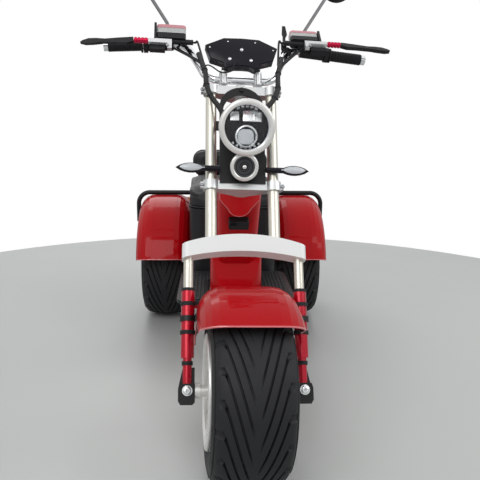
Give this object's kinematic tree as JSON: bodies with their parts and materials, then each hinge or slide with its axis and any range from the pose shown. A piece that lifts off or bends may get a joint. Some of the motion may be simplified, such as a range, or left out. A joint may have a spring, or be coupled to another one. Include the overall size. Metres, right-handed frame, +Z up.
{
  "type": "three-wheeled electric scooter",
  "caption": "Fat-tyre electric trike scooter with a long raked fork, wide handlebar, round headlight, low deck and padded seat between two fendered rear wheels.",
  "frame": {"origin": "on the ground below the middle of the scooter's length", "axes": "+Z up, -Y is the way it travels, +X is its left side"},
  "size_m": [0.9396, 1.8394, 1.4094],
  "materials": {
    "tyre_rubber": "moulded",
    "alloy": "satin",
    "steel": "brushed",
    "chrome": "polished",
    "white_paint": "gloss",
    "red_paint": "gloss",
    "black_paint": "satin",
    "black_plastic": "grained",
    "rubber": "matt",
    "clear_lens": "clear",
    "reflector": "polished",
    "red_anodised": "anodised",
    "red_lens": "moulded",
    "upholstery": "grained",
    "spring_steel": "gloss",
    "cap_plastic": "moulded",
    "amber_lens": "moulded"
  },
  "bodies": {
    "frame": {"main_frame": "red_paint", "neck_cover": "red_paint", "ignition_lock": "black_plastic", "deck": "black_plastic", "deck_mat": "rubber", "seat_box": "black_plastic", "battery": "black_plastic", "seat": "upholstery", "backrest": "upholstery", "backrest_posts": "black_paint", "rear_fender_left": "red_paint", "rear_fender_right": "red_paint", "fender_guard": "black_paint", "drive_axle": "black_paint", "rear_shocks": "spring_steel", "tail_lamp": "black_plastic", "tail_lenses": "red_lens", "rear_signals": "amber_lens", "plate_bracket": "black_plastic"},
    "steering": {"lower_clamp": "alloy", "upper_clamp": "alloy", "fork_tubes": "chrome", "fork_brace": "white_paint", "fork_sliders": "red_paint", "slider_rings": "black_plastic", "axle_lugs": "black_paint", "front_axle": "steel", "front_fender": "red_paint", "fender_stays": "black_paint", "front_caliper": "black_plastic", "lamp_bracket": "black_paint", "headlight_shell": "chrome", "headlight_projector": "reflector", "headlight_lens": "clear_lens", "horn": "black_plastic", "signal_bodies": "black_plastic", "signal_lenses": "clear_lens", "bar_risers": "alloy", "handlebar": "chrome", "grips": "rubber", "brake_controls": "black_plastic", "reservoirs": "clear_lens", "reservoir_caps": "cap_plastic", "lever_brackets": "alloy", "lever_adjusters": "red_anodised", "levers": "black_plastic", "mirrors": "black_plastic", "instrument_panel": "black_plastic", "cables": "rubber"},
    "front_wheel": {"front_tyre": "tyre_rubber", "front_rim": "alloy", "front_disc": "steel"},
    "rear_wheel_left": {"rear_tyre_left": "tyre_rubber", "rear_rim_left": "alloy"},
    "rear_wheel_right": {"rear_tyre_right": "tyre_rubber", "rear_rim_right": "alloy"}
  },
  "joints": [
    {"name": "steer", "type": "hinge", "parent": "frame", "child": "steering", "pos_m": [0, -0.33635, 0.81189], "axis": [0, 0.4617, 0.887], "range_deg": [-44, 36]},
    {"name": "front_wheel_spin", "type": "hinge", "parent": "steering", "child": "front_wheel", "pos_m": [0.00314, -0.69015, 0.22945], "axis": [0.9976, 0.0619, -0.0322], "continuous": true},
    {"name": "rear_wheel_left_spin", "type": "hinge", "parent": "frame", "child": "rear_wheel_left", "pos_m": [0.286, 0.58975, 0.2295], "axis": [1, 0, 0], "continuous": true},
    {"name": "rear_wheel_right_spin", "type": "hinge", "parent": "frame", "child": "rear_wheel_right", "pos_m": [-0.286, 0.58975, 0.2295], "axis": [1, 0, 0], "continuous": true}
  ]
}
